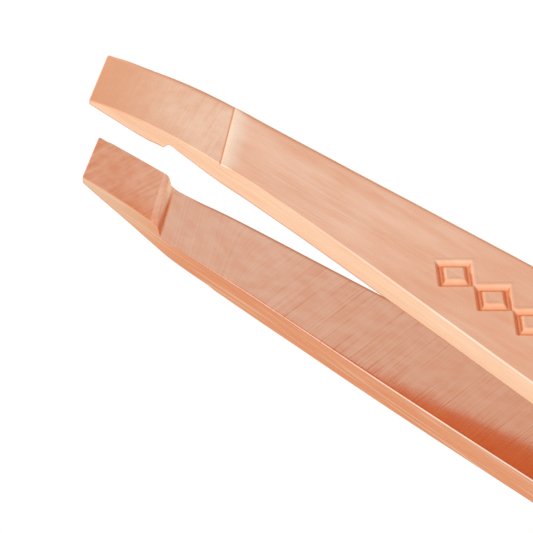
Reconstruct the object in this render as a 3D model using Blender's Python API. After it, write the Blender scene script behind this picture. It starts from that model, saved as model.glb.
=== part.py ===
"""Slant tweezers: two sprung arms with slanted, filed jaws, welded together at the tail.

Each arm is drawn in millimetres on the tweezers' own middle plane: x runs from the tip to
the tail, y across the arm and z away from the other arm. place_on_table() then leans the
pair until the lower arm lies flat, centres it and turns it into metres.
"""

import math

import bmesh
import bpy
import numpy as np

MM = 0.001

# Length, width and the slanted cut of the jaws
LENGTH = 95.0
TIP_WIDTH = 3.0
TIP_SLANT = 25.0            # degrees, far corner leading
PAD_END_SLANT = 28.9
SHOULDER_SLANT = 29.8
STRAIGHT_FROM = 32.0        # behind here the sections stand square to the length
WIDTH_KNOTS = ((0.0, TIP_WIDTH), (1.5, TIP_WIDTH), (8.0, 3.55), (15.0, 4.43), (22.0, 5.48),
               (30.0, 6.50), (40.0, 7.60), (50.0, 8.35), (60.0, 8.60), (76.0, 7.80), (LENGTH, 6.40))
TAIL_ROUND = 3.2            # how far the rounded tail end reaches

# Jaw: a flat inner pad, and an outer face ground down towards the tip
TIP_AT = 0.5 * TIP_WIDTH * math.tan(math.radians(TIP_SLANT))
PAD_Z = 2.44
PAD_SLOPE = -0.0165
PAD_END = 5.06
STEP_LENGTH = 0.55
TIP_THICKNESS = 0.29
SHOULDER_AT = 8.65
SHOULDER_Z = 3.90
LEDGE_LENGTH = 0.20

# Outer face: rises gently behind the ledge, then runs flat as the face the arm lies on
LEDGE_TOP_Z = 3.98
FLAT_FROM = 14.0
FLAT_TO = 56.0
FLAT_Z = 4.01
FLAT_SLOPE = -0.025
WELD_FROM = 84.0            # the arms touch from here to the tail end

# Inner face and the thin spring behind the grip
INNER_Z = 2.93
INNER_SLOPE = -0.028
THIN_FROM = 46.0
THIN_TO = 68.0
SPRING_THICKNESS = 0.85
TAIL_GAP = 0.04             # seam left between the two tails

# The spring is stood for by a hinge: the arm and its tail part here
PIVOT_X = 74.0
SPLIT_GAP = 0.10

# Edge breaks along the outer and the inner corners
OUTER_BREAK = 0.14
INNER_BREAK = 0.09
BREAK_SHARE = 0.16          # of the thickness, where the metal is thin

# Resistance welds that join the tails
WELD_AT = (86.4, 91.0)
WELD_NAMES = ("weld_nugget_front", "weld_nugget_rear")
WELD_RADIUS = 1.5
WELD_HALF_HEIGHT = 0.28
WELD_BREAK = 0.06
WELD_CLEARANCE = 0.05
WELD_SIDES = 32

ARM_COLOUR = (0.80, 0.47, 0.33, 1.0)
TAIL_COLOUR = (0.77, 0.45, 0.32, 1.0)
WELD_COLOUR = (0.42, 0.40, 0.38, 1.0)


def curve_through(knots, x):
    """Smooth monotone curve through the knots: a cubic on each span, harmonic-mean slopes."""
    kx, ky = np.array(knots, dtype=float).T
    run = np.diff(kx)
    rise = np.diff(ky) / run
    slope = np.zeros_like(kx)
    same_way = rise[:-1] * rise[1:] > 0.0
    mean = 2.0 * rise[:-1] * rise[1:] / np.where(same_way, rise[:-1] + rise[1:], 1.0)
    slope[1:-1] = np.where(same_way, mean, 0.0)
    slope[0] = rise[0]
    slope[-1] = rise[-1]
    x = np.clip(x, kx[0], kx[-1])
    i = np.clip(np.searchsorted(kx, x) - 1, 0, len(run) - 1)
    return span(kx[i], ky[i], slope[i], kx[i + 1], ky[i + 1], slope[i + 1], x)


def span(x0, y0, slope0, x1, y1, slope1, x):
    """Cubic from (x0, y0) to (x1, y1) with the given end slopes."""
    run = x1 - x0
    t = np.clip((x - x0) / run, 0.0, 1.0)
    start = (1.0 + 2.0 * t) * (1.0 - t) ** 2 * y0 + t * (1.0 - t) ** 2 * run * slope0
    end = t * t * (3.0 - 2.0 * t) * y1 + t * t * (t - 1.0) * run * slope1
    return start + end


def ease(t):
    """Goes from 0 to 1 with level ends."""
    t = np.clip(t, 0.0, 1.0)
    return t * t * (3.0 - 2.0 * t)


def half_width(x):
    """Half the plan width at x, closing along an ellipse at the tail."""
    into_end = np.clip((x - (LENGTH - TAIL_ROUND)) / TAIL_ROUND, 0.0, 1.0)
    return 0.5 * curve_through(WIDTH_KNOTS, x) * np.sqrt(1.0 - into_end ** 2)


def slant_tangent(s):
    """Slope of the section line in plan, for the section that crosses the middle at s."""
    knots = ((TIP_AT, TIP_SLANT), (PAD_END, PAD_END_SLANT), (SHOULDER_AT, SHOULDER_SLANT))
    fade = 1.0 - ease((s - SHOULDER_AT) / (STRAIGHT_FROM - SHOULDER_AT))
    return math.tan(math.radians(float(curve_through(knots, s)) * fade))


def face_z(x):
    """Outer face behind the ledge."""
    rise = span(SHOULDER_AT, LEDGE_TOP_Z, 0.02, FLAT_FROM, FLAT_Z, FLAT_SLOPE, x)
    flat = FLAT_Z + FLAT_SLOPE * (x - FLAT_FROM)
    flat_end = FLAT_Z + FLAT_SLOPE * (FLAT_TO - FLAT_FROM)
    tail_top = SPRING_THICKNESS + 0.5 * TAIL_GAP
    fall = span(FLAT_TO, flat_end, FLAT_SLOPE, WELD_FROM, tail_top, 0.0, x)
    return np.where(x < FLAT_FROM, rise, np.where(x < FLAT_TO, flat, fall))


def outer_z(s, x):
    """Outer surface: the ground facet on slanted lines, the ledge, then the face."""
    along = np.clip((s - TIP_AT) / (SHOULDER_AT - TIP_AT), 0.0, 1.0)
    tip_top = PAD_Z + TIP_THICKNESS
    facet = tip_top + (SHOULDER_Z - tip_top) * (1.0 - (1.0 - along) ** 2)
    step = ease((s - SHOULDER_AT) / LEDGE_LENGTH)
    return facet + (face_z(x) - facet) * step


def inner_z(s, x):
    """Inner surface: the flat jaw pad, the step behind it, the arm, then the thin spring."""
    pad = PAD_Z + PAD_SLOPE * x
    arm = INNER_Z + INNER_SLOPE * (x - PAD_END - STEP_LENGTH)
    arm_end = INNER_Z + INNER_SLOPE * (THIN_FROM - PAD_END - STEP_LENGTH)
    thick = face_z(np.array(THIN_FROM)) - arm_end
    thinning = thick + (SPRING_THICKNESS - thick) * ease((x - THIN_FROM) / (THIN_TO - THIN_FROM))
    behind = np.where(x < THIN_FROM, arm, face_z(x) - thinning)
    return pad + (behind - pad) * ease((s - PAD_END) / STEP_LENGTH)


def section(s):
    """Eight points round the arm where its middle line is at s, as (x, y, z)."""
    tangent = slant_tangent(s)
    far = half_width(s)
    near = half_width(s)
    for _ in range(4):
        far = half_width(s - far * tangent)
        near = half_width(s + near * tangent)
    thick = float(outer_z(s, np.array(s)) - inner_z(s, np.array(s)))
    outer_break = min(OUTER_BREAK, BREAK_SHARE * thick)
    inner_break = min(INNER_BREAK, BREAK_SHARE * thick)
    inner = ((-near, inner_break), (-near + inner_break, 0.0), (far - inner_break, 0.0), (far, inner_break))
    outer = ((far, outer_break), (far - outer_break, 0.0), (-near + outer_break, 0.0), (-near, outer_break))
    points = []
    for y, lift in inner:
        x = s - y * tangent
        points.append((x, y, float(inner_z(s, np.array(x))) + lift))
    for y, drop in outer:
        x = s - y * tangent
        points.append((x, y, float(outer_z(s, np.array(x))) - drop))
    return points


def stations(start, end):
    """Places along the arm where sections stand: close together where the shape turns."""
    runs = ((TIP_AT, PAD_END, 6), (PAD_END, PAD_END + STEP_LENGTH, 6),
            (PAD_END + STEP_LENGTH, SHOULDER_AT, 5), (SHOULDER_AT, SHOULDER_AT + LEDGE_LENGTH, 4),
            (SHOULDER_AT + LEDGE_LENGTH, FLAT_FROM, 5), (FLAT_FROM, STRAIGHT_FROM, 12),
            (STRAIGHT_FROM, FLAT_TO, 12), (FLAT_TO, WELD_FROM, 20), (WELD_FROM, LENGTH - TAIL_ROUND, 4))
    places = np.concatenate([np.linspace(a, b, n, endpoint=False) for a, b, n in runs])
    turn = np.radians(np.linspace(0.0, 84.0, 12))
    places = np.concatenate([places, LENGTH - TAIL_ROUND + TAIL_ROUND * np.sin(turn)])
    inside = places[(places > start + 0.05) & (places < end - 0.05)]
    return [start, *inside, end]


def arm_mesh(name, start, end, side):
    """Closed mesh of one arm between two stations; side is 1 above the middle plane, -1 below."""
    rings = [section(s) for s in stations(start, end)]
    mesh = bmesh.new()
    loops = [[mesh.verts.new((x, y, side * z)) for x, y, z in ring] for ring in rings]
    mesh.faces.new(loops[0])
    mesh.faces.new(loops[-1][::-1])
    for ring, following in zip(loops, loops[1:]):
        for i in range(len(ring)):
            j = (i + 1) % len(ring)
            mesh.faces.new((ring[i], following[i], following[j], ring[j]))
    return to_object(mesh, name)


def to_object(mesh, name):
    """Turns faces outwards, splits them into triangles and links the object."""
    bmesh.ops.recalc_face_normals(mesh, faces=mesh.faces)
    bmesh.ops.triangulate(mesh, faces=mesh.faces)
    data = bpy.data.meshes.new(name)
    mesh.to_mesh(data)
    mesh.free()
    obj = bpy.data.objects.new(name, data)
    bpy.context.scene.collection.objects.link(obj)
    return obj


def disc(name, x, radius, half_height, edge_break):
    """Round disc on the middle plane with its edge broken, standing at x."""
    mesh = bmesh.new()
    profile = ((radius - edge_break, -half_height), (radius, -half_height + edge_break),
               (radius, half_height - edge_break), (radius - edge_break, half_height))
    angles = [math.tau * k / WELD_SIDES for k in range(WELD_SIDES)]
    loops = [[mesh.verts.new((x + r * math.cos(a), r * math.sin(a), z)) for a in angles] for r, z in profile]
    mesh.faces.new(loops[0])
    mesh.faces.new(loops[-1])
    for lower, upper in zip(loops, loops[1:]):
        for i in range(WELD_SIDES):
            j = (i + 1) % WELD_SIDES
            mesh.faces.new((lower[i], lower[j], upper[j], upper[i]))
    return to_object(mesh, name)


def cut(target, cutter):
    """Takes the cutter out of the target with a live boolean."""
    boolean = target.modifiers.new(cutter.name, "BOOLEAN")
    boolean.operation = "DIFFERENCE"
    boolean.solver = "EXACT"
    boolean.object = cutter
    cutter.hide_render = True
    cutter.display_type = "WIRE"


def paint(obj, name, colour, roughness, metallic):
    """Gives the object its own plain metal."""
    material = bpy.data.materials.new(name)
    material.use_nodes = True
    shader = material.node_tree.nodes["Principled BSDF"]
    shader.inputs["Base Color"].default_value = colour
    shader.inputs["Roughness"].default_value = roughness
    shader.inputs["Metallic"].default_value = metallic
    obj.data.materials.append(material)


def to_table(points, shift):
    """Turns middle-plane millimetres into metres on the table, with the lower arm lying flat."""
    lean = math.atan(-FLAT_SLOPE)
    x = points[:, 0] * math.cos(lean) + points[:, 2] * math.sin(lean)
    z = points[:, 2] * math.cos(lean) - points[:, 0] * math.sin(lean)
    return (np.stack([x, points[:, 1], z], axis=1) - shift) * MM


def mesh_points(obj):
    flat = np.empty(3 * len(obj.data.vertices))
    obj.data.vertices.foreach_get("co", flat)
    return flat.reshape(-1, 3)


def place_on_table(objects, origins):
    """Stands every mesh on the table with the box centred, each object on its own origin."""
    solid = [to_table(mesh_points(obj), 0.0) / MM for obj in objects if not obj.hide_render]
    low = np.min([points.min(axis=0) for points in solid], axis=0)
    high = np.max([points.max(axis=0) for points in solid], axis=0)
    shift = np.array([0.5 * (low[0] + high[0]), 0.0, low[2]])
    for obj in objects:
        origin = to_table(np.array([origins[obj.name]]), shift)[0]
        points = to_table(mesh_points(obj), shift) - origin
        obj.data.vertices.foreach_set("co", points.ravel())
        obj.data.update()
        obj.location = origin


def smooth_shade(obj):
    obj.data.shade_smooth()
    obj.data.set_sharp_from_angle(angle=math.radians(20.0))


def build():
    for obj in list(bpy.data.objects):
        bpy.data.objects.remove(obj, do_unlink=True)
    pivot_z = float(face_z(np.array(PIVOT_X))) - 0.5 * SPRING_THICKNESS
    origins = {}
    objects = []
    for word, side in (("upper", 1.0), ("lower", -1.0)):
        arm = arm_mesh(f"{word}_arm", TIP_AT, PIVOT_X - 0.5 * SPLIT_GAP, side)
        tail_end = LENGTH - TAIL_ROUND + TAIL_ROUND * math.sin(math.radians(84.0))
        tail = arm_mesh(f"{word}_tail", PIVOT_X + 0.5 * SPLIT_GAP, tail_end, side)
        origins[arm.name] = (PIVOT_X, 0.0, side * pivot_z)
        origins[tail.name] = (PIVOT_X, 0.0, side * pivot_z)
        paint(arm, f"{word}_arm_metal", ARM_COLOUR, 0.32, 1.0)
        paint(tail, f"{word}_tail_metal", TAIL_COLOUR, 0.34, 1.0)
        objects += [arm, tail]
    tails = [obj for obj in objects if obj.name.endswith("_tail")]
    for name, x in zip(WELD_NAMES, WELD_AT):
        nugget = disc(name, x, WELD_RADIUS, WELD_HALF_HEIGHT, WELD_BREAK)
        pocket = disc(f"{name}_pocket", x, WELD_RADIUS + WELD_CLEARANCE,
                      WELD_HALF_HEIGHT + WELD_CLEARANCE, WELD_BREAK)
        paint(nugget, f"{name}_metal", WELD_COLOUR, 0.55, 1.0)
        for tail in tails:
            cut(tail, pocket)
        origins[nugget.name] = (x, 0.0, 0.0)
        origins[pocket.name] = (x, 0.0, 0.0)
        objects += [nugget, pocket]
    place_on_table(objects, origins)
    for obj in objects:
        smooth_shade(obj)


build()
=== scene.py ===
import math

import bpy
import numpy as np
from mathutils import Matrix, Vector


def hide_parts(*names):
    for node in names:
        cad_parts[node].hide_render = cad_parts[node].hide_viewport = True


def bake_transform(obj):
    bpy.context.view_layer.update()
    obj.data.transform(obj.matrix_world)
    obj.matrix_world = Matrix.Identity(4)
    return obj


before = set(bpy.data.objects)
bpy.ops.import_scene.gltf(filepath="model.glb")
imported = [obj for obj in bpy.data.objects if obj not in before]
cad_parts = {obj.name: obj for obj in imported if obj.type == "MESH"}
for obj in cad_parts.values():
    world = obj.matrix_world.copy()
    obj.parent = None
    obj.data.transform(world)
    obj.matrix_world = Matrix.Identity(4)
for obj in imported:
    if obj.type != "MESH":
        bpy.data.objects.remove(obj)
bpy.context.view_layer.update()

mm = 0.001
micron = 1e-6
scene = bpy.context.scene


# camera, looking down on the jaws from the near side and a little from the tail
cameraSet = {
    "aim": (-33.93, -2.52, 4.10),    # mm, where the axis meets the tweezers
    "turn": 35.624,                  # degrees round from straight in front
    "height": 40.605,                # degrees above the table
    "roll": 5.062,
    "distance": 433.4,               # mm
    "lens": 610.25, "sensor": 36.0,  # mm
    "clip": (0.01, 20.0),            # m, nearest and farthest seen
}


def makeCamera(values):
    turn, height, roll = (math.radians(values[key]) for key in ("turn", "height", "roll"))
    outward = math.cos(height)
    back = Vector((math.sin(turn) * outward, -math.cos(turn) * outward, math.sin(height)))
    level = Vector((math.cos(turn), math.sin(turn), 0.0))
    raised = back.cross(level)
    right = level * math.cos(roll) + raised * math.sin(roll)
    up = back.cross(right)
    data = bpy.data.cameras.new("camera")
    data.sensor_width = values["sensor"]
    data.lens = values["lens"]
    data.clip_start, data.clip_end = values["clip"]
    camera = bpy.data.objects.new("camera", data)
    scene.collection.objects.link(camera)
    place = (Vector(values["aim"]) + back * values["distance"]) * mm
    axes = Matrix((right, up, back)).transposed()
    camera.matrix_world = Matrix.Translation(place) @ axes.to_4x4()
    scene.camera = camera


makeCamera(cameraSet)
scene.view_settings.view_transform = "Standard"
print("camera in place")


# shape shared by both arms, in mm: x back from the tip, y across, z up from the plane between the arms
armShape = {
    "length": 95.0, "tipWidth": 3.0,
    "widths": ((0.0, 3.0), (1.5, 3.0), (8.0, 3.55), (15.0, 4.43), (22.0, 5.48), (30.0, 6.50),
               (40.0, 7.60), (50.0, 8.35), (60.0, 8.60), (76.0, 7.80), (95.0, 6.40)),
    "tailRound": 3.2,
    "tipSlant": 25.0, "padEndSlant": 28.9, "shoulderSlant": 29.8,   # degrees
    "straightFrom": 32.0,            # sections stand square to the length from here
    "shoulderAt": 8.65, "shoulderZ": 3.935, "hollow": 0.12,          # end of the ground facet
    "ledgeLength": 0.55, "ledgeTopZ": 3.98, "ledgeTopSlope": 0.02, "ledgePower": 1.7,
    "flatFrom": 14.0, "flatTo": 56.0, "flatZ": 4.01, "flatSlope": -0.025,
    "rootAt": 5.61,                  # foot of the step behind the pad
    "thinFrom": 46.0, "thinTo": 68.0, "springThickness": 0.85,
    "weldFrom": 84.0, "tailGap": 0.04,
    "tipLead": 0.04,                 # how far the tip line is moved forward
    "tipRound": 0.06, "tipCorner": 0.13,       # rounding of the end, and of its corners seen from above
    "middleAt": 47.454,              # how far the middle of the length lies behind the tip corner
}
tipSlope = math.tan(math.radians(armShape["tipSlant"]))
tipAt = 0.5 * armShape["tipWidth"] * tipSlope - armShape["tipLead"]


def curveThrough(knots, x):
    # monotone cubic on each span, with harmonic-mean slopes at the knots
    kx, ky = np.array(knots, dtype=float).T
    run = np.diff(kx)
    rise = np.diff(ky) / run
    slope = np.zeros_like(kx)
    sameWay = rise[:-1] * rise[1:] > 0.0
    mean = 2.0 * rise[:-1] * rise[1:] / np.where(sameWay, rise[:-1] + rise[1:], 1.0)
    slope[1:-1] = np.where(sameWay, mean, 0.0)
    slope[0], slope[-1] = rise[0], rise[-1]
    x = np.clip(x, kx[0], kx[-1])
    i = np.clip(np.searchsorted(kx, x) - 1, 0, len(run) - 1)
    return hermite(kx[i], ky[i], slope[i], kx[i + 1], ky[i + 1], slope[i + 1], x)


def hermite(x0, y0, slope0, x1, y1, slope1, x):
    # cubic from (x0, y0) to (x1, y1) that leaves and arrives with the given slopes
    run = x1 - x0
    t = np.clip((x - x0) / run, 0.0, 1.0)
    start = (1.0 + 2.0 * t) * (1.0 - t) ** 2 * y0 + t * (1.0 - t) ** 2 * run * slope0
    end = t * t * (3.0 - 2.0 * t) * y1 + t * t * (t - 1.0) * run * slope1
    return start + end


def ease(t):
    # 3t^2 - 2t^3 between 0 and 1, level at both ends
    t = np.clip(t, 0.0, 1.0)
    return t * t * (3.0 - 2.0 * t)


def fadeIn(x, start, run):
    # 0 up to the start, 1 after the run
    return ease((x - start) / run)


def bell(x, centre, width):
    # exp(-((x - centre) / width)^2)
    return np.exp(-((x - centre) / width) ** 2)


def halfWidth(x, v):
    # half the width curve, closed along a quarter ellipse over the last tailRound
    intoEnd = np.clip((x - (v["length"] - v["tailRound"])) / v["tailRound"], 0.0, 1.0)
    half = 0.5 * curveThrough(v["widths"], x) + curveThrough(v["widen"], x)
    return half * np.sqrt(1.0 - intoEnd ** 2)


def slantTangent(s, v):
    # tangent of the slant curve through tip, pad end and shoulder, faded out by straightFrom
    knots = ((tipAt, v["tipSlant"]), (v["padEnd"], v["padEndSlant"]),
             (v["shoulderAt"], v["shoulderSlant"]))
    fade = 1.0 - ease((s - v["shoulderAt"]) / (v["straightFrom"] - v["shoulderAt"]))
    return np.tan(np.radians(curveThrough(knots, s) * fade))


def faceHeight(x, v):
    # behind the ledge a short rise, then a straight fall, then a cubic down to the welded tail
    rise = hermite(v["shoulderAt"], v["ledgeTopZ"], v["ledgeTopSlope"],
                   v["flatFrom"], v["flatZ"], v["flatSlope"], x)
    flat = v["flatZ"] + v["flatSlope"] * (x - v["flatFrom"])
    flatEnd = v["flatZ"] + v["flatSlope"] * (v["flatTo"] - v["flatFrom"])
    tailTop = v["springThickness"] + 0.5 * v["tailGap"]
    fall = hermite(v["flatTo"], flatEnd, v["flatSlope"], v["weldFrom"], tailTop, 0.0, x)
    return np.where(x < v["flatFrom"], rise, np.where(x < v["flatTo"], flat, fall))


def outerHeight(s, x, u, v):
    # a parabola from the tip edge up to the shoulder, hollow ground across towards the shoulder,
    # then a ledge that climbs fast and rounds over; u is the share of the half width, far side 1
    along = np.clip((s - tipAt) / (v["shoulderAt"] - tipAt), 0.0, 1.0)
    tipTop = v["padZ"] + v["tipThickness"]
    facet = tipTop + (v["shoulderZ"] - tipTop) * (1.0 - (1.0 - along) ** 2)
    facet = facet - v["hollow"] * (1.0 - np.abs(u) ** 3) * along ** 5
    t = np.clip((s - v["shoulderAt"]) / v["ledgeLength"], 0.0, 1.0)
    climb = 1.0 - (1.0 - t) ** v["ledgePower"]
    return facet + (faceHeight(x, v) - facet) * climb + curveThrough(v["outerSwell"], x)


def innerHeight(s, x, u, v):
    # flat pad, the step behind it (one profile at the near edge, a softer one at the far edge),
    # a straight arm, then a thin spring
    pad = v["padZ"] + v["padSlope"] * x + curveThrough(v["padSwell"], s)
    arm = v["innerZ"] + v["innerSlope"] * (x - v["rootAt"]) + curveThrough(v["innerSwell"], x)
    armEnd = v["innerZ"] + v["innerSlope"] * (v["thinFrom"] - v["rootAt"])
    thick = faceHeight(np.array(v["thinFrom"]), v) - armEnd
    thinned = ease((x - v["thinFrom"]) / (v["thinTo"] - v["thinFrom"]))
    thinning = thick + (v["springThickness"] - thick) * thinned
    behind = np.where(x < v["thinFrom"], arm, faceHeight(x, v) - thinning)
    t = s - v["padEnd"]
    nearStep, farStep = curveThrough(v["nearStep"], t), curveThrough(v["farStep"], t)
    step = nearStep + (farStep - nearStep) * ease(0.5 + 0.5 * u)
    return pad + (behind - pad) * step


def sectionEnds(s, v, rounds=6):
    # how far the slanted section line reaches to the far and the near edge, closed in on step by step
    tangent = slantTangent(s, v)
    far = halfWidth(s, v)
    near = halfWidth(s, v)
    for _ in range(rounds):
        far = halfWidth(s - far * tangent, v)
        near = halfWidth(s + near * tangent, v)
    sway = curveThrough(v["sway"], s)
    return tangent, far + sway, near - sway


# stamped chain of plain lozenges on the upper arm
chainSet = {
    "from": 22.70, "count": 8, "pitch": 2.36,    # mm along the arm, to each centre
    "middle": -0.10,                             # mm off the centre line
    "halfLong": 0.92, "halfTall": 0.96,          # to the middle of the groove
    "groove": 0.25, "depth": 0.19,               # half width and depth
    "grooveFlank": 0.8,                          # below 1 for a narrower floor
    "burr": 0.045, "burrWidth": 0.14,            # height and width of the raised lip
    "burrCentre": 0.4, "burrSpread": 0.6,        # shares of that width
}


def chainDepth(x, y, v=chainSet):
    # distance to a lozenge outline |x|/a + |y|/b = 1, pressed in as a round-bottomed groove with a
    # raised lip
    number = np.clip(np.round((x - v["from"]) / v["pitch"]), 0, v["count"] - 1)
    across = np.abs(x - v["from"] - number * v["pitch"]) / v["halfLong"]
    tall = np.abs(y - v["middle"]) / v["halfTall"]
    scale = v["halfLong"] * v["halfTall"] / math.hypot(v["halfLong"], v["halfTall"])
    off = np.abs(across + tall - 1.0) * scale
    groove = 1.0 - ease(off / v["groove"]) ** v["grooveFlank"]
    lip = bell(off - v["groove"], v["burrCentre"] * v["burrWidth"], v["burrSpread"] * v["burrWidth"])
    return -v["depth"] * groove + v["burr"] * lip


# how finely the skins are divided: mm, shares, or numbers of rings and columns
gridSet = {
    "chainStep": 0.055, "chainMargin": 0.7,      # between rings over the chain, and how far past it
    "stepMargin": (0.1, 1.0), "ledgeMargin": 0.12,                   # fine rings before and after
    "strip": 1.36, "stripShare": 0.55,           # half width of the even strip, and its largest share
    "stripColumns": 11, "chainColumns": 51, "toEdge": 8, "edgeBorder": 0.03,
    "bend": 11, "wall": 6, "under": 20, "underBorder": 0.02,
    "tip": 11, "tail": 22, "tailTurn": 87.0,     # degrees
}
# each face of an arm's skin has one of these finishes
zones = ("face", "facet", "side", "inner", "pad", "step", "end")
zoneEdges = {"padShort": 0.06, "stepLength": 0.72}        # mm before and after the end of the pad


def stationsAlong(dense, v, g=gridSet):
    # close together where the shape turns, and over the stamped chain; each run is from, to, rings
    end = v["length"] - v["tailRound"]
    before, after = g["stepMargin"]
    stepStart, stepEnd = v["padEnd"] - before, v["padEnd"] + after
    ledgeStart, ledgeEnd = v["shoulderAt"] - g["ledgeMargin"], v["shoulderAt"] + v["ledgeLength"]
    runs = [(tipAt + v["tipCorner"], stepStart, 30), (stepStart, stepEnd, 60),
            (stepEnd, ledgeStart, 16), (ledgeStart, v["shoulderAt"], 4),
            (v["shoulderAt"], ledgeEnd, 24), (ledgeEnd, v["flatFrom"], 16)]
    if dense:
        c = chainSet
        start = c["from"] - c["halfLong"] - g["chainMargin"]
        stop = c["from"] + (c["count"] - 1) * c["pitch"] + c["halfLong"] + g["chainMargin"]
        rings = int((stop - start) / g["chainStep"])
        runs += [(v["flatFrom"], start, 16), (start, stop, rings), (stop, v["flatTo"], 18)]
    else:
        runs += [(v["flatFrom"], v["straightFrom"], 24), (v["straightFrom"], v["flatTo"], 20)]
    runs += [(v["flatTo"], v["weldFrom"], 44), (v["weldFrom"], end, 10)]
    quarter = np.radians(np.linspace(0.0, 90.0, g["tip"])[:-1])
    tip = tipAt + v["tipCorner"] * (1.0 - np.cos(quarter))
    places = [tip] + [np.linspace(a, b, n, endpoint=False) for a, b, n in runs]
    turn = np.radians(np.linspace(0.0, g["tailTurn"], g["tail"]))
    return np.concatenate(places + [end + v["tailRound"] * np.sin(turn)])


def spread(count, border):
    # shares from 0 to 1, evenly spaced inside, with one close to each end so that flats stay flat
    inner = np.linspace(0.0, 1.0, count)
    return np.concatenate([[0.0, border], inner[1:-1], [1.0 - border, 1.0]])


def endRounding(s, radius):
    # quarter circle: how far the skin draws in at station s, from the radius at the tip to nothing
    fromTip = np.clip((s - tipAt) / radius, 0.0, 1.0)
    return radius * (1.0 - np.sqrt(1.0 - (1.0 - fromTip) ** 2))[:, None]


def armSkin(name, side):
    # rings of a rounded box section on the slanted section lines, swept from the tip to the tail end
    v, g = side["shape"], gridSet
    s = stationsAlong(side["stamped"], v)
    tangent, far, near = sectionEnds(s, v)
    farEdge, nearEdge = far[:, None], near[:, None]
    inset, cornerInset = endRounding(s, v["tipRound"]), endRounding(s, v["tipCorner"])

    def rounding(key):
        # half axes of the quarter ellipse at an edge, across the arm and through it
        drop = curveThrough(v[key], s)
        return (drop * curveThrough(v[key + "Reach"], s))[:, None], drop[:, None]

    (farOuterR, farOuterDrop), (nearOuterR, nearOuterDrop) = rounding("farOuter"), rounding("nearOuter")
    (farInnerR, farInnerDrop), (nearInnerR, nearInnerDrop) = rounding("farInner"), rounding("nearInner")
    far, near = farEdge - cornerInset, nearEdge - cornerInset

    def cross(y):
        return s[:, None] - y * tangent[:, None]

    def share(y):
        return np.clip(np.where(y > 0.0, y / farEdge, y / nearEdge), -1.0, 1.0)

    def outer(y):
        return outerHeight(s[:, None], cross(y), share(y), v) - inset

    def inner(y):
        return innerHeight(s[:, None], cross(y), share(y), v) + inset

    # outer face: columns at even steps over the stamped strip, the rest spread to both edges
    strip = np.minimum(g["strip"], g["stripShare"] * np.minimum(far, near))
    columns = g["chainColumns"] if side["stamped"] else g["stripColumns"]
    inStrip = np.linspace(-1.0, 1.0, columns)[None, :]
    toEdge = spread(g["toEdge"], g["edgeBorder"])[None, 1:]
    nearRun = -(near - nearOuterR) + (near - nearOuterR - strip) * (1.0 - toEdge[:, ::-1])
    farRun = strip + (far - farOuterR - strip) * toEdge
    outerY = np.concatenate([nearRun, strip * inStrip, farRun], axis=1)
    outerZ = outer(outerY)
    if side["stamped"]:
        outerZ = outerZ + chainDepth(cross(outerY), outerY)
    bend = np.radians(np.linspace(0.0, 90.0, g["bend"]))[None, 1:]
    wall = spread(g["wall"], g["edgeBorder"])[None, 1:-1]

    def corner(edge, sign, reach, level, drop):
        y = sign * (edge - reach + reach * np.sin(bend))
        return y, level(y) + drop * (1.0 - np.cos(bend))

    farOuterY, farOuterZ = corner(far, 1.0, farOuterR, outer, -farOuterDrop)
    nearOuterY, nearOuterZ = corner(near, -1.0, nearOuterR, outer, -nearOuterDrop)
    farInnerY, farInnerZ = corner(far, 1.0, farInnerR, inner, farInnerDrop)
    nearInnerY, nearInnerZ = corner(near, -1.0, nearInnerR, inner, nearInnerDrop)
    farWallZ = farOuterZ[:, -1:] + (farInnerZ[:, -1:] - farOuterZ[:, -1:]) * wall
    nearWallZ = nearInnerZ[:, -1:] + (nearOuterZ[:, -1:] - nearInnerZ[:, -1:]) * wall
    underShare = spread(g["under"], g["underBorder"])[None, :]
    innerY = (far - farInnerR) - (far - farInnerR + near - nearInnerR) * underShare
    innerZ = inner(innerY)
    parts = [
        (outerY, outerZ, "top"), (farOuterY, farOuterZ, "topFar"),
        (far + 0.0 * farWallZ, farWallZ, "wall"), (farInnerY[:, ::-1], farInnerZ[:, ::-1], "underFar"),
        (innerY, innerZ, "under"), (nearInnerY, nearInnerZ, "underNear"),
        (-near + 0.0 * nearWallZ, nearWallZ, "wall"), (nearOuterY[:, ::-1], nearOuterZ[:, ::-1], "topNear"),
    ]
    y = np.concatenate([part[0] for part in parts], axis=1)
    z = np.concatenate([part[1] for part in parts], axis=1)
    label = np.concatenate([np.full(part[0].shape[1], part[2], dtype="U9") for part in parts])
    return closedSkin(name, side, s, cross(y), y, z, label, share(y))


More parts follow.
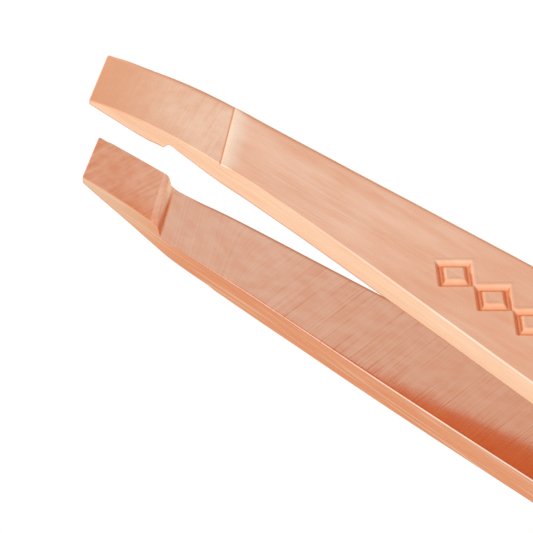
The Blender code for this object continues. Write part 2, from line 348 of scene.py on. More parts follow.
def closedSkin(name, side, s, x, y, z, label, shareAcross):
    # rings joined by quads, with a fan of triangles over each end
    rows, columns = x.shape
    ids = np.arange(rows * columns).reshape(rows, columns)
    following = np.roll(ids, -1, axis=1)
    quads = np.stack([ids[:-1], following[:-1], following[1:], ids[1:]], axis=-1).reshape(-1, 4)
    tipCentre, tailCentre = rows * columns, rows * columns + 1
    tipFan = np.stack([following[0], ids[0], np.full(columns, tipCentre)], axis=-1)
    tailFan = np.stack([ids[-1], following[-1], np.full(columns, tailCentre)], axis=-1)
    if side["sign"] > 0.0:           # so that both mirror twins face outwards
        quads, tipFan, tailFan = quads[:, ::-1], tipFan[:, ::-1], tailFan[:, ::-1]
    flat = np.stack([x, y, z], axis=-1).reshape(-1, 3)
    centres = [flat[ids[end]].mean(axis=0)[None] for end in (0, -1)]
    points = np.concatenate([flat] + centres)

    mesh = bpy.data.meshes.new(name)
    faces = quads.tolist() + tipFan.tolist() + tailFan.tolist()
    mesh.from_pydata(toTable(points, side["sign"]) * mm, [], faces)
    every = faceZones(s, label, side["shape"])
    mesh.polygons.foreach_set("material_index", every)
    mesh.polygons.foreach_set("use_smooth", np.ones(len(every), dtype=bool))

    station = np.concatenate([np.repeat(s, columns), [s[0], s[-1]]])
    corners = np.concatenate([np.full(len(quads), 4), np.full(len(tipFan) + len(tailFan), 3)])
    setMap(mesh, points, station, np.repeat(every, corners))
    names = np.concatenate([np.tile(label, rows), ["wall", "wall"]])
    u = np.concatenate([shareAcross.reshape(-1), [0.0, 0.0]])
    for key, value in skinMarks(side, points, station, names, u).items():
        attribute = mesh.attributes.new(key, "FLOAT", "POINT")
        attribute.data.foreach_set("value", value.astype(np.float32))
    mesh.validate()
    mesh.update()
    obj = bpy.data.objects.new(name, mesh)
    scene.collection.objects.link(obj)
    return obj


def faceZones(s, label, v):
    # which finish each face has, from where it lies round and along the arm
    middle = np.broadcast_to((0.5 * (s[:-1] + s[1:]))[:, None], (len(s) - 1, len(label)))
    place = np.broadcast_to(label[None, :], middle.shape)
    number = {zone: i for i, zone in enumerate(zones)}
    top = np.where(middle < v["shoulderAt"], number["facet"], number["face"])
    behindPad = np.where(middle < v["padEnd"] + zoneEdges["stepLength"], number["step"], number["inner"])
    under = np.where(middle < v["padEnd"] - zoneEdges["padShort"], number["pad"], behindPad)
    finish = np.where(np.char.startswith(place, "top"), top, number["side"])
    finish = np.where(np.char.startswith(place, "under"), under, finish)
    tip, tail = (np.full(len(label), number[zone]) for zone in ("end", "side"))
    return np.concatenate([finish.reshape(-1), tip, tail]).astype(np.int32)


def setMap(mesh, points, station, loopZone, straight=(8.5, 3.5), sideShift=20.0):
    # pattern map in mm: along the arm, and across it on the faces or up it on the sides; near the jaw
    # the inner face's map follows the slanted sections, and goes straight over the given run
    loopVerts = np.empty(len(mesh.loops), dtype=np.int32)
    mesh.loops.foreach_get("vertex_index", loopVerts)
    onSide = loopZone == zones.index("side")
    across = np.where(onSide, points[loopVerts, 2] + sideShift, points[loopVerts, 1])
    slanted = points[:, 0] + (station - points[:, 0]) * (1.0 - fadeIn(station, *straight))
    onInner = loopZone == zones.index("inner")
    along = np.where(onInner, slanted[loopVerts], points[loopVerts, 0])
    layer = mesh.uv_layers.new(name="surfaceMap")
    layer.data.foreach_set("uv", np.stack([along, across], axis=-1).astype(np.float32).ravel())


# marks that the finishes read, most of them painted highlight and painted shade; a pair is a start and a
# run, or a centre and a width
# mm along the arm, counted from the tip, the end of the pad or the shoulder; u is -1 near, 1 far
markSet = {
    "ledgeStart": (0.0, 0.03), "ledgeFade": 0.28, "ledgeFadeRun": (0.25, 0.75), "lens": 1.15,
    "shoulderLine": 0.9, "shoulderLineAt": (-0.02, 0.045),
    "stepTop": 1.6, "stepTopAt": (0.44, 0.11), "stepTopFar": 0.7,
    "stepFoot": 1.2, "stepFootAt": (0.58, 0.085), "stepFootLean": 0.05, "stepFootNear": (1.1, 0.95),
    "rimStart": (1.5, 2.0), "rimStop": (0.6, 0.4),
    "padShade": 0.42, "padShadeStart": (2.0, 3.0), "padShadeStop": 0.5,
    "farRimU": (0.72, 0.28), "farRimStart": (1.0, 3.0), "farRimLess": 0.45, "farRimLessAt": (7.5, 3.0),
    "nearTint": 0.45, "nearTintU": (0.1, 0.9), "nearTintStop": (5.5, 3.0),
    "underRimU": (0.84, 0.16), "underRimStart": (7.0, 4.0),
    "tip": (0.5, 6.5), "paintedRimHighlight": (12.0, 12.0),
}


def skinMarks(side, points, station, names, u, m=markSet):
    # products of fades along the arm and across it, and bells on the lines
    v = side["shape"]
    onTop, onUnder = (np.char.startswith(names, word) for word in ("top", "under"))
    behind = station - v["shoulderAt"]
    pastPad = station - v["padEnd"]

    # painted highlight: a pale band on the ledge behind the facet, longest in the middle, and a pale band at
    # the top of the step
    lens = np.clip(m["lens"] - np.abs(u) ** 4, 0.0, 1.0)
    least, more = m["ledgeFadeRun"]
    fade = fadeIn(behind, m["ledgeFade"], least + more * lens)
    stepTop = m["stepTop"] * bell(pastPad, *m["stepTopAt"]) * ease(0.5 + m["stepTopFar"] * u)
    ledge = onTop * fadeIn(behind, *m["ledgeStart"]) * (1.0 - fade) + onUnder * stepTop

    # painted shade: dark lines in the creases at the shoulder and at the foot of the step and along the near
    # rim of the pad, and a darker near side of the pad
    paintedShade = onTop * m["shoulderLine"] * bell(behind, *m["shoulderLineAt"])
    footAt, footWidth = m["stepFootAt"]
    foot = bell(station, v["padEnd"] + footAt + m["stepFootLean"] * u, footWidth)
    full, less = m["stepFootNear"]
    paintedShade = paintedShade + onUnder * m["stepFoot"] * foot * ease(full - less * u)
    nearRim = (names == "underNear") * fadeIn(station, *m["rimStart"])
    nearRim = nearRim * (1.0 - fadeIn(pastPad, *m["rimStop"]))
    paintedShade = np.maximum(paintedShade, side["rimLine"] * nearRim)
    onPad = onUnder * (station < v["padEnd"] + m["padShadeStop"])
    paintedShade = paintedShade + onPad * m["padShade"] * ease(-u) * fadeIn(station, *m["padShadeStart"])

    # painted shade along the far rims, as a deeper tone there; and a deeper tone over the near side of the
    # top close to the tip
    lessRim = 1.0 - m["farRimLess"] * fadeIn(station, *m["farRimLessAt"])
    topRim = fadeIn(u, *m["farRimU"]) * fadeIn(station, *m["farRimStart"]) * lessRim
    nearTint = m["nearTint"] * fadeIn(-u, *m["nearTintU"])
    topRim = topRim + nearTint * (1.0 - fadeIn(station, *m["nearTintStop"]))
    underRim = fadeIn(u, *m["underRimU"]) * fadeIn(station, *m["underRimStart"])

    # painted shade in the stamped grooves, darkest where they are deepest
    stamp = np.zeros(len(points))
    if side["stamped"]:
        pressed = -chainDepth(points[:, 0], points[:, 1]) / chainSet["depth"]
        stamp = onTop * np.clip(pressed, 0.0, 1.0)
    # painted highlight: a pale line along the near rim that faces up, growing along the arm
    upperRim = "topNear" if side["sign"] > 0.0 else "underNear"
    return {"ledge": ledge, "paintedShade": paintedShade, "rim": onTop * topRim + onUnder * underRim,
            "tip": 1.0 - fadeIn(station, *m["tip"]), "stamp": stamp,
            "paintedRimHighlight": (names == upperRim) * fadeIn(station, *m["paintedRimHighlight"])}


def toTable(points, sign, v=armShape):
    # turns the middle plane until the lower arm lies flat, and sets the middle of the length at x = 0
    lean = math.atan(-v["flatSlope"])
    x, y, z = points[:, 0], points[:, 1], points[:, 2] * sign
    rest = (v["flatZ"] - v["flatSlope"] * v["flatFrom"]) * math.cos(lean)
    return np.stack([x * math.cos(lean) + z * math.sin(lean) - v["middleAt"], y,
                     z * math.cos(lean) - x * math.sin(lean) + rest], axis=-1)


# helpers for node trees
def newGroup(name, inputs, outputs):
    group = bpy.data.node_groups.new(name, "ShaderNodeTree")
    for label, kind, value in inputs:
        socket = group.interface.new_socket(label, in_out="INPUT", socket_type=kind)
        if value is not None:
            socket.default_value = value
    for label, kind in outputs:
        group.interface.new_socket(label, in_out="OUTPUT", socket_type=kind)
    return group, group.nodes.new("NodeGroupInput"), group.nodes.new("NodeGroupOutput")


def addNode(tree, kind, settings=None, values=None):
    made = tree.nodes.new(kind)
    for key, value in (settings or {}).items():
        setattr(made, key, value)
    for key, value in (values or {}).items():
        made.inputs[key].default_value = value
    return made


def math2(tree, operation, a, b):
    # a and b are each a number or a socket
    made = addNode(tree, "ShaderNodeMath", {"operation": operation})
    for i, item in enumerate((a, b)):
        if isinstance(item, (int, float)):
            made.inputs[i].default_value = item
        else:
            tree.links.new(item, made.inputs[i])
    return made.outputs[0]


def ramp(tree, value, low, high, toLow=0.0, toHigh=1.0):
    # smooth step from toLow at low to toHigh at high
    made = addNode(tree, "ShaderNodeMapRange", {"interpolation_type": "SMOOTHSTEP"},
                   {"From Min": low, "From Max": high, "To Min": toLow, "To Max": toHigh})
    tree.links.new(value, made.inputs["Value"])
    return made.outputs["Result"]


def mixColour(tree, factor, a, b):
    # a where the factor is 0, b where it is 1; a and b are each a colour or a socket
    made = addNode(tree, "ShaderNodeMix", {"data_type": "RGBA", "clamp_factor": True})
    for socket, item in ((made.inputs["Factor"], factor), (made.inputs[6], a), (made.inputs[7], b)):
        if hasattr(item, "is_output"):
            tree.links.new(item, socket)
        else:
            socket.default_value = item
    return made.outputs[2]


# effects shared by the finishes
brushSet = {
    "fine": (3.0, 0.65, 11.0), "broad": (2.0, 0.5, 47.0),            # detail, roughness, shift
    "marks": (1.0, 0.5, 83.0),
    "broadLength": 0.6, "broadCount": 0.28, "markLength": 0.8,       # shares of the fine lines' own
    "fineShare": 0.75, "broadShare": 0.25, "scratchDepth": 0.5, "seedTurn": 3.7,
    "lineRange": (0.30, 0.70), "scratchRange": (0.64, 0.74), "streakRange": (0.41, 0.31),
}
cloudSet = {
    "Clouds": (1.0, 2.0), "Mottle": (5.0, 4.0),                      # scale, detail
    "roughness": 0.5, "range": (0.3, 0.7),
}


def flatNoise(tree, vector, scale, detail, roughness):
    noise = addNode(tree, "ShaderNodeTexNoise", {"noise_dimensions": "2D"},
                    {"Scale": scale, "Detail": detail, "Roughness": roughness})
    tree.links.new(vector, noise.inputs["Vector"])
    return noise.outputs["Fac"]


def vector2(tree, operation, a, b):
    made = addNode(tree, "ShaderNodeVectorMath", {"operation": operation})
    tree.links.new(a, made.inputs[0])
    tree.links.new(b, made.inputs[1])
    return made.outputs["Vector"]


def pair(tree, x, y, z=0.0):
    made = addNode(tree, "ShaderNodeCombineXYZ", None, {"Z": z})
    tree.links.new(x, made.inputs["X"])
    tree.links.new(y, made.inputs["Y"])
    return made.outputs["Vector"]


def makeBrushGroup(v=brushSet):
    # noise stretched along the brushing direction, at two widths, and sparse single scratches
    number, vector = "NodeSocketFloat", "NodeSocketVector"
    group, source, result = newGroup(
        "brushLines",
        [("Map", vector, None), ("Angle", number, 0.0), ("Fine per mm", number, 9.0),
         ("Length mm", number, 5.0), ("Scratch per mm", number, 3.0), ("Seed", number, 0.0)],
        [("Lines", number), ("Scratches", number), ("Streaks", number), ("Height", number)])
    turned = addNode(group, "ShaderNodeVectorRotate", {"rotation_type": "Z_AXIS"})
    group.links.new(source.outputs["Map"], turned.inputs["Vector"])
    group.links.new(source.outputs["Angle"], turned.inputs["Angle"])
    along = math2(group, "DIVIDE", 1.0, source.outputs["Length mm"])
    finePerMm, seed = source.outputs["Fine per mm"], source.outputs["Seed"]

    def stretched(lengthwise, across, detail, roughness, shift):
        scaled = vector2(group, "MULTIPLY", turned.outputs["Vector"], pair(group, lengthwise, across))
        offset = pair(group, math2(group, "ADD", seed, shift), math2(group, "MULTIPLY", seed, v["seedTurn"]))
        return flatNoise(group, vector2(group, "ADD", scaled, offset), 1.0, detail, roughness)

    fine = stretched(along, finePerMm, *v["fine"])
    broad = stretched(math2(group, "MULTIPLY", along, v["broadLength"]),
                      math2(group, "MULTIPLY", finePerMm, v["broadCount"]), *v["broad"])
    marks = stretched(math2(group, "MULTIPLY", along, v["markLength"]),
                      source.outputs["Scratch per mm"], *v["marks"])
    lines = math2(group, "ADD", math2(group, "MULTIPLY", fine, v["fineShare"]),
                  math2(group, "MULTIPLY", broad, v["broadShare"]))
    scratches = ramp(group, marks, *v["scratchRange"])
    height = math2(group, "SUBTRACT", lines, math2(group, "MULTIPLY", scratches, v["scratchDepth"]))
    group.links.new(ramp(group, lines, *v["lineRange"]), result.inputs["Lines"])
    group.links.new(scratches, result.inputs["Scratches"])
    group.links.new(ramp(group, marks, *v["streakRange"]), result.inputs["Streaks"])
    group.links.new(height, result.inputs["Height"])
    return group


def makeCloudGroup(v=cloudSet):
    # slow uneven tone, as plating shows over a hand-finished face
    number, vector = "NodeSocketFloat", "NodeSocketVector"
    group, source, result = newGroup(
        "toneClouds",
        [("Map", vector, None), ("Size mm", number, 4.0), ("Stretch", number, 1.8), ("Seed", number, 0.0)],
        [("Clouds", number), ("Mottle", number)])
    across, seed = source.outputs["Size mm"], source.outputs["Seed"]
    size = pair(group, math2(group, "MULTIPLY", across, source.outputs["Stretch"]), across, 1.0)
    scaled = vector2(group, "DIVIDE", source.outputs["Map"], size)
    moved = vector2(group, "ADD", scaled, pair(group, seed, seed))
    for output in ("Clouds", "Mottle"):
        noise = flatNoise(group, moved, *v[output], v["roughness"])
        group.links.new(ramp(group, noise, *v["range"]), result.inputs[output])
    return group


brushGroup = makeBrushGroup()
cloudGroup = makeCloudGroup()
print("brushing and tone groups ready")


# finishes of the rose-gold plated steel
plating = {
    "tone": (0.95, 0.57, 0.405), "deep": (0.80, 0.34, 0.18), "pale": (1.0, 0.78, 0.62),
    # the next three colours are a painted highlight, the pale of the brush streaks that also serves as a
    # painted highlight, and painted shade
    "ledge": (1.0, 0.80, 0.64), "streakAndHighlight": (1.0, 0.90, 0.80), "paintedShade": (0.78, 0.23, 0.07),
}
# each finish's tint is partly painted light: the plating is one colour, and the tints stand in for part of
# the difference in light between the faces
finishes = {
    "face": {"angle": 0.0, "fine": 9.0, "length": 8.0, "scratch": 6.0, "lines": 0.12, "scratches": 0.10,
             "streaks": 0.12, "clouds": 0.50, "cloud": (2.0, 4.5), "mottle": 0.16,
             "roughness": 0.28, "metal": 1.0, "bump": 0.35,
             "tint": (1.0, 1.02, 1.03)},
    "facet": {"angle": 109.0, "fine": 10.0, "length": 3.0, "scratch": 8.0, "lines": 0.20, "scratches": 0.26,
             "streaks": 0.10, "clouds": 0.34, "cloud": (3.0, 1.0), "mottle": 0.20,
             "roughness": 0.26, "metal": 1.0, "bump": 0.4,
             "tint": (1.0, 1.07, 1.09)},
    "side": {"angle": 0.0, "fine": 12.0, "length": 6.0, "scratch": 9.0, "lines": 0.16, "scratches": 0.12,
             "streaks": 0.2, "clouds": 0.16, "cloud": (1.0, 8.0), "mottle": 0.10,
             "roughness": 0.30, "metal": 1.0, "bump": 1.0,
             "tint": (0.965, 1.04, 1.0)},
    "inner": {"angle": 90.0, "fine": 10.0, "length": 7.0, "scratch": 9.0, "lines": 0.46, "scratches": 0.80,
             "streaks": 0.2, "clouds": 0.20, "cloud": (3.0, 1.8), "mottle": 0.26,
             "roughness": 0.13, "metal": 1.0, "bump": 2.6,
             "quiet": (7.0, 17.0, 0.30),         # fainter lines up to x, full from x, least share
             "tint": (0.86, 0.79, 0.775)},
    "pad": {"angle": 82.0, "fine": 9.0, "length": 2.0, "scratch": 6.0, "lines": 0.46, "scratches": 0.42,
             "streaks": 0.28, "clouds": 0.50, "cloud": (3.0, 1.0), "mottle": 0.30,
             "roughness": 0.32, "metal": 1.0, "bump": 1.6,
             "tint": (0.89, 0.735, 0.66)},
    "step": {"angle": 82.0, "fine": 9.0, "length": 2.0, "scratch": 6.0, "lines": 0.16, "scratches": 0.16,
             "streaks": 0.3, "clouds": 0.14, "cloud": (4.0, 1.8), "mottle": 0.20,
             "roughness": 0.34, "metal": 0.35, "bump": 1.0,
             "tint": (0.96, 0.90, 0.86)},
    "end": {"angle": 0.0, "fine": 9.0, "length": 2.0, "scratch": 6.0, "lines": 0.12, "scratches": 0.10,
             "streaks": 0.1, "clouds": 0.10, "cloud": (4.0, 1.8), "mottle": 0.06,
             "roughness": 0.32, "metal": 1.0, "bump": 0.8,
             "tint": (1.0, 1.0, 1.0)},
}
# share of another tone at the tip, or growing from x to x along the arm
toneChanges = {
    "facet": {"tip": ("deep", 0.85)}, "pad": {"tip": ("deep", 0.10)},
    "face": {"along": ("deep", 0.56, 14.0, 33.0)}, "inner": {"along": ("deep", 0.64, 6.0, 40.0)},
}
# how strongly each mark shows
markShares = {"rim": 0.75, "ledge": 0.65, "stamp": 0.8, "dark": 0.9, "paintedRimHighlight": 0.40}
roughSwing = 0.08                    # how far the roughness swings with the lines
cloudShift, zoneShift = 5.0, 7.0     # added to the seed for the clouds, and for each further finish


def makeFinish(name, values, seed, changes):
    material = bpy.data.materials.new(name)
    material.use_nodes = True
    tree = material.node_tree
    shader = tree.nodes["Principled BSDF"]
    chart = addNode(tree, "ShaderNodeUVMap", {"uv_map": "surfaceMap"})
    brush = addNode(tree, "ShaderNodeGroup", {"node_tree": brushGroup},
                    {"Angle": math.radians(-values["angle"]), "Fine per mm": values["fine"],
                     "Length mm": values["length"], "Scratch per mm": values["scratch"], "Seed": seed})
    size, stretch = values["cloud"]
    cloud = addNode(tree, "ShaderNodeGroup", {"node_tree": cloudGroup},
                    {"Size mm": size, "Stretch": stretch, "Seed": seed + cloudShift})
    tree.links.new(chart.outputs["UV"], brush.inputs["Map"])
    tree.links.new(chart.outputs["UV"], cloud.inputs["Map"])
    marks = {}
    for key in ("ledge", "paintedShade", "rim", "tip", "stamp", "paintedRimHighlight"):
        marks[key] = addNode(tree, "ShaderNodeAttribute", {"attribute_name": key}).outputs["Fac"]

    def alongArm(*limits):
        # ramp on the first number of the map, mm along the arm
        split = addNode(tree, "ShaderNodeSeparateXYZ")
        tree.links.new(chart.outputs["UV"], split.inputs[0])
        return ramp(tree, split.outputs["X"], *limits)

    brushed = [brush.outputs[key] for key in ("Lines", "Scratches", "Height")]
    if "quiet" in values:
        start, stop, least = values["quiet"]
        strength = alongArm(start, stop, least, 1.0)
        brushed = [math2(tree, "MULTIPLY", item, strength) for item in brushed]
    lines, scratches, height = brushed

    def toned(key):
        return tuple(min(1.0, a * b) for a, b in zip(plating[key], values["tint"])) + (1.0,)

    def towards(colour, key, mask, share):
        return mixColour(tree, math2(tree, "MULTIPLY", mask, share), colour, toned(key))

    colour = towards(toned("tone"), "deep", cloud.outputs["Clouds"], values["clouds"])
    colour = towards(colour, "deep", lines, values["lines"])
    colour = towards(colour, "deep", scratches, values["scratches"])
    colour = towards(colour, values.get("streakTone", "pale"), brush.outputs["Streaks"], values["streaks"])
    colour = towards(colour, "pale", cloud.outputs["Mottle"], values["mottle"])
    # painted shade along the far rims, with the deeper near side of the top by the tip
    colour = towards(colour, "deep", marks["rim"], markShares["rim"])
    if "tip" in changes:
        key, share = changes["tip"]
        colour = towards(colour, key, marks["tip"], share)
    if "along" in changes:
        key, share, start, stop = changes["along"]
        colour = towards(colour, key, alongArm(start, stop), share)
    # painted shade in the stamped grooves, joined with the other painted shade
    stamped = math2(tree, "MULTIPLY", marks["stamp"], markShares["stamp"])
    dark = math2(tree, "MAXIMUM", marks["paintedShade"], stamped)
    # painted highlight on the ledge and the step, painted shade, and a painted highlight along the rim that
    # faces up, each laid over the colour so far
    for key, mask, share in (("ledge", marks["ledge"], markShares["ledge"]),
                             ("paintedShade", dark, markShares["dark"]),
                             ("streakAndHighlight", marks["paintedRimHighlight"], markShares["paintedRimHighlight"])):
        colour = mixColour(tree, math2(tree, "MULTIPLY", mask, share), colour, plating[key] + (1.0,))
    tree.links.new(colour, shader.inputs["Base Color"])
    swing = math2(tree, "MULTIPLY", brush.outputs["Lines"], roughSwing)
    rough = math2(tree, "ADD", values["roughness"] - 0.5 * roughSwing, swing)
    tree.links.new(rough, shader.inputs["Roughness"])
    bump = addNode(tree, "ShaderNodeBump", None, {"Strength": 1.0, "Distance": values["bump"] * micron})
    tree.links.new(height, bump.inputs["Height"])
    tree.links.new(bump.outputs["Normal"], shader.inputs["Normal"])
    shader.inputs["Metallic"].default_value = values["metal"]
    return material


# what differs between the arms, as both are ground by hand: each pair is mm behind the tip and mm there,
# or mm behind the pad's end and a share of the step in nearStep and farStep; Reach is a rounding's width
# over its depth; a seed of a finish's own is another draw of the same pattern
arms = {
    "upper": {
        "sign": 1.0, "stamped": True, "seed": 0.0, "rimLine": 0.0,
        "finish": {"face": {"seed": 700.0}, "facet": {"seed": 200.0}},
        "tone": {"inner": {"along": ("deep", 0.25, 6.0, 40.0)}},
        "shape": {
            **armShape,
            "widen": ((0.5, 0.12), (0.9, 0.15), (3.0, 0.168), (4.7, 0.185), (7.0, 0.17), (9.6, 0.115),
                      (12.0, 0.07), (14.3, 0.05), (17.5, 0.062), (20.0, 0.07), (25.0, 0.145), (30.0, 0.24),
                      (36.0, 0.20), (50.0, 0.0), (95.0, 0.0)),
            "sway": ((0.0, 0.0), (3.0, 0.022), (4.7, 0.045), (7.0, 0.048), (9.6, 0.048), (12.0, 0.042),
                     (14.3, 0.055), (17.5, 0.072), (20.0, 0.08), (30.0, 0.08), (60.0, 0.0), (95.0, 0.0)),
            "outerSwell": ((0.0, 0.0), (12.0, 0.0), (18.0, 0.04), (30.0, 0.05), (50.0, 0.0), (95.0, 0.0)),
            "padZ": 2.485, "padSlope": 0.018, "padEnd": 5.20, "tipThickness": 0.26,
            "padSwell": ((0.6, -0.02), (1.8, -0.065), (3.2, -0.07), (4.3, -0.035), (4.7, 0.04), (5.2, 0.10),
                         (5.5, 0.10)),
            "innerZ": 3.00, "innerSlope": -0.029,
            "innerSwell": ((0.0, 0.19), (6.3, 0.19), (7.0, 0.108), (7.9, 0.036), (9.0, -0.055),
                           (10.2, -0.097), (11.6, -0.06), (14.0, -0.04), (20.0, -0.01), (28.0, 0.06),
                           (46.0, 0.0), (95.0, 0.0)),
            "nearStep": ((0.0, 0.0), (0.06, 0.08), (0.30, 0.78), (0.44, 0.94), (0.70, 1.0)),
            "farStep": ((0.0, 0.0), (0.06, 0.08), (0.26, 0.80), (0.40, 0.94), (0.60, 1.0)),
            "farOuter": ((0.6, 0.045), (2.0, 0.11), (4.0, 0.20), (8.0, 0.22), (40.0, 0.20), (95.0, 0.16)),
            "farOuterReach": ((0.0, 2.0), (3.0, 3.6), (7.0, 3.6), (9.5, 2.4), (40.0, 2.0), (95.0, 1.0)),
            "nearOuter": ((0.6, 0.04), (3.0, 0.05), (40.0, 0.09), (95.0, 0.14)),
            "nearOuterReach": ((0.0, 1.0), (95.0, 1.0)),
            "farInner": ((0.6, 0.04), (3.0, 0.08), (95.0, 0.10)), "farInnerReach": ((0.0, 1.0), (95.0, 1.0)),
            "nearInner": ((0.6, 0.04), (3.0, 0.06), (95.0, 0.10)),
            "nearInnerReach": ((0.0, 1.0), (95.0, 1.0)),
        },
    },
    "lower": {
        "sign": -1.0, "stamped": False, "seed": 31.0, "rimLine": 0.5,
        "finish": {"side": {"lines": 0.34, "scratches": 0.32, "streaks": 0.65, "streakTone": "streakAndHighlight",
                            "bump": 2.4, "tint": (0.96, 0.98, 0.94)}},
        # the lower arm's side grows paler towards the tip, a painted reflection of the brighter floor there
        "tone": {"side": {"along": ("streakAndHighlight", 0.9, 9.0, 0.5)}},
        "shape": {
            **armShape,
            "widen": ((0.5, -0.07), (0.9, -0.02), (3.2, -0.018), (4.7, -0.02), (6.2, 0.02), (7.2, 0.075),
                      (9.5, 0.097), (12.0, 0.085), (15.0, 0.068), (18.0, 0.045), (24.0, 0.02), (30.0, 0.0),
                      (95.0, 0.0)),
            "sway": ((0.0, 0.0), (1.9, 0.026), (3.2, 0.045), (4.7, 0.022), (6.2, 0.012), (7.2, 0.035),
                     (9.5, 0.082), (12.0, 0.071), (15.0, 0.03), (18.0, -0.008), (30.0, -0.03), (60.0, 0.0),
                     (95.0, 0.0)),
            "outerSwell": ((0.0, 0.0), (95.0, 0.0)),
            "innerZ": 2.93, "innerSlope": -0.028,
            "innerSwell": ((0.0, 0.0), (95.0, 0.0)),
            "padZ": 2.39, "padSlope": -0.018, "padEnd": 4.95, "tipThickness": 0.35,
            "padSwell": ((0.0, 0.0), (5.5, 0.0)),
            "nearStep": ((0.0, 0.0), (0.05, 0.02), (0.38, 0.21), (0.48, 0.42), (0.60, 0.90), (0.66, 1.0)),
            "farStep": ((0.10, 0.0), (0.26, 0.13), (0.36, 0.42), (0.46, 0.74), (0.58, 0.87), (0.74, 0.955),
                        (0.95, 1.0)),
            "farOuter": ((0.6, 0.07), (3.0, 0.12), (95.0, 0.14)), "farOuterReach": ((0.0, 1.0), (95.0, 1.0)),
            "nearOuter": ((0.6, 0.07), (3.0, 0.10), (95.0, 0.14)),
            "nearOuterReach": ((0.0, 1.0), (95.0, 1.0)),
            "farInner": ((0.6, 0.06), (5.6, 0.08), (8.0, 0.15), (40.0, 0.15), (95.0, 0.10)),
            "farInnerReach": ((0.0, 1.0), (5.6, 1.0), (9.0, 4.5), (40.0, 4.0), (95.0, 1.0)),
            "nearInner": ((0.6, 0.015), (7.0, 0.015), (12.0, 0.075), (95.0, 0.10)),
            "nearInnerReach": ((0.0, 1.0), (95.0, 1.0)),
        },
    },
}
for word, side in arms.items():
    skin = armSkin(f"{word}_spring_arm", side)
    for number, zone in enumerate(zones):
        look = {**finishes[zone], **side["finish"].get(zone, {})}
        changes = side["tone"].get(zone, toneChanges.get(zone, {}))
        seed = side["seed"] + number * zoneShift + look.get("seed", 0.0)
        skin.data.materials.append(makeFinish(f"roseGold_{word}_{zone}", look, seed, changes))
    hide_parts(f"{word}_arm", f"{word}_tail")
    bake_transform(skin)
    print(f"{word} arm made, {len(skin.data.polygons)} faces")


# the weld nuggets keep their own shape
weldSet = {
    "dark": (0.30, 0.28, 0.27, 1.0), "light": (0.55, 0.50, 0.46, 1.0),
    "grain": 4000.0, "detail": 4.0, "grainRoughness": 0.6, "grainRange": (0.3, 0.7),
    "roughness": (0.42, 0.68), "bump": 0.6, "depth": 10.0,           # depth in microns
}


def makeWeldMetal(v=weldSet):
    material = bpy.data.materials.new("weldSteel")
    material.use_nodes = True
    tree = material.node_tree
    shader = tree.nodes["Principled BSDF"]
    where = addNode(tree, "ShaderNodeTexCoord")
    noise = addNode(tree, "ShaderNodeTexNoise", None,
                    {"Scale": v["grain"], "Detail": v["detail"], "Roughness": v["grainRoughness"]})
    tree.links.new(where.outputs["Object"], noise.inputs["Vector"])
    tone = mixColour(tree, noise.outputs["Fac"], v["dark"], v["light"])
    tree.links.new(tone, shader.inputs["Base Color"])
    rough = ramp(tree, noise.outputs["Fac"], *v["grainRange"], *v["roughness"])
    tree.links.new(rough, shader.inputs["Roughness"])
    bump = addNode(tree, "ShaderNodeBump", None, {"Strength": v["bump"], "Distance": v["depth"] * micron})
    tree.links.new(noise.outputs["Fac"], bump.inputs["Height"])
    tree.links.new(bump.outputs["Normal"], shader.inputs["Normal"])
    shader.inputs["Metallic"].default_value = 1.0
    return material


weldMetal = makeWeldMetal()
for name in ("weld_nugget_front", "weld_nugget_rear"):
    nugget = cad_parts[name]
    nugget.data.materials.clear()
    nugget.data.materials.append(weldMetal)
print("weld nuggets finished")


# floor, light and surroundings: the camera sees plain white, and the metal reflects these tones, among them
# a painted shadow on the floor under and behind the arms
studio = {
    "white": 1.02,
    "frontSky": (1.28, 1.28, 1.26), "backSky": (0.90, 0.90, 0.90), "backHorizon": (0.52, 0.31, 0.22),
    "leftPanel": (1.45, 1.38, 1.30),
    "frontFloor": (1.14, 1.16, 1.14), "shadowedNearFloor": (0.86, 0.60, 0.46),
    "warmShadedBackFloor": (1.02, 0.70, 0.41), "farFloor": (1.0, 0.86, 0.66),
    "floorHalf": 3.0, "floorDrop": 0.00005,                          # m
    "frontToNear": (-0.010, -0.003), "nearToBack": (-0.002, 0.004), "backToFar": (0.0072, 0.0094),   # m in y
    "horizonToSky": (0.03, 0.48), "backToFront": (0.35, -0.35),      # of the direction's z and y
    "panelSide": (-0.52, -0.74), "panelTop": (0.42, 0.22),           # of its x and z
}


def tone4(key):
    return studio[key] + (1.0,)


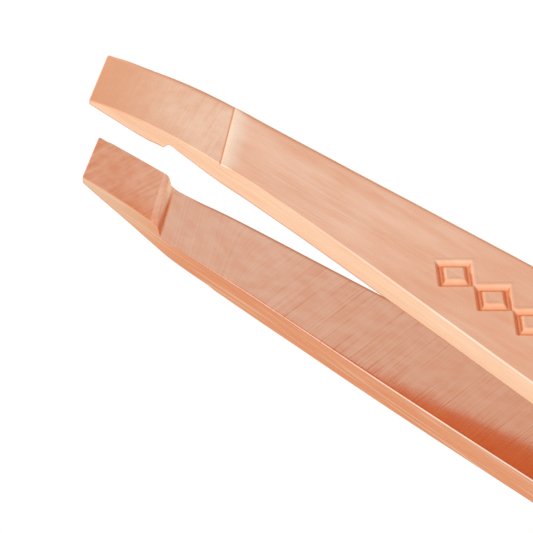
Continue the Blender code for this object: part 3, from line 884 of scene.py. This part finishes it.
def whiteToCamera(tree, kind, outputKind, colour):
    # the camera meets even white, every other ray the given colour
    seen = addNode(tree, kind, None, {"Color": (1.0, 1.0, 1.0, 1.0), "Strength": studio["white"]})
    lit = addNode(tree, kind, None, {"Strength": 1.0})
    tree.links.new(colour, lit.inputs["Color"])
    rays = addNode(tree, "ShaderNodeLightPath")
    mix = addNode(tree, "ShaderNodeMixShader")
    tree.links.new(rays.outputs["Is Camera Ray"], mix.inputs[0])
    tree.links.new(lit.outputs[0], mix.inputs[1])
    tree.links.new(seen.outputs[0], mix.inputs[2])
    output = addNode(tree, outputKind)
    tree.links.new(mix.outputs[0], output.inputs["Surface"])


def coordinates(tree, output):
    # x, y and z of a texture coordinate, in an empty tree
    tree.nodes.clear()
    where = addNode(tree, "ShaderNodeTexCoord")
    split = addNode(tree, "ShaderNodeSeparateXYZ")
    tree.links.new(where.outputs[output], split.inputs[0])
    return [split.outputs[axis] for axis in "XYZ"]


def makeFloor(v=studio):
    half, level = v["floorHalf"], -v["floorDrop"]
    mesh = bpy.data.meshes.new("floor")
    corners = [(-half, -half, level), (half, -half, level), (half, half, level), (-half, half, level)]
    mesh.from_pydata(corners, [], [(0, 1, 2, 3)])
    floor = bpy.data.objects.new("floor", mesh)
    scene.collection.objects.link(floor)
    material = bpy.data.materials.new("paleFloor")
    material.use_nodes = True
    tree = material.node_tree
    _, y, _ = coordinates(tree, "Object")
    # painted shadow on the floor for reflections: a dimmer orange under and beside the near edge, and a warm
    # tone under and behind the far side, as the arms' shade warmed by light off the metal
    front = mixColour(tree, ramp(tree, y, *v["frontToNear"]), tone4("frontFloor"), tone4("shadowedNearFloor"))
    back = mixColour(tree, ramp(tree, y, *v["backToFar"]), tone4("warmShadedBackFloor"), tone4("farFloor"))
    colour = mixColour(tree, ramp(tree, y, *v["nearToBack"]), front, back)
    whiteToCamera(tree, "ShaderNodeEmission", "ShaderNodeOutputMaterial", colour)
    mesh.materials.append(material)


def makeSurroundings(v=studio):
    world = bpy.data.worlds.new("studio")
    scene.world = world
    world.use_nodes = True
    tree = world.node_tree
    x, y, z = coordinates(tree, "Generated")
    back = mixColour(tree, ramp(tree, z, *v["horizonToSky"]), tone4("backHorizon"), tone4("backSky"))
    panel = math2(tree, "MULTIPLY", ramp(tree, x, *v["panelSide"]), ramp(tree, z, *v["panelTop"]))
    back = mixColour(tree, panel, back, tone4("leftPanel"))
    colour = mixColour(tree, ramp(tree, y, *v["backToFront"]), back, tone4("frontSky"))
    whiteToCamera(tree, "ShaderNodeBackground", "ShaderNodeOutputWorld", colour)


makeFloor()
makeSurroundings()
print("studio ready")
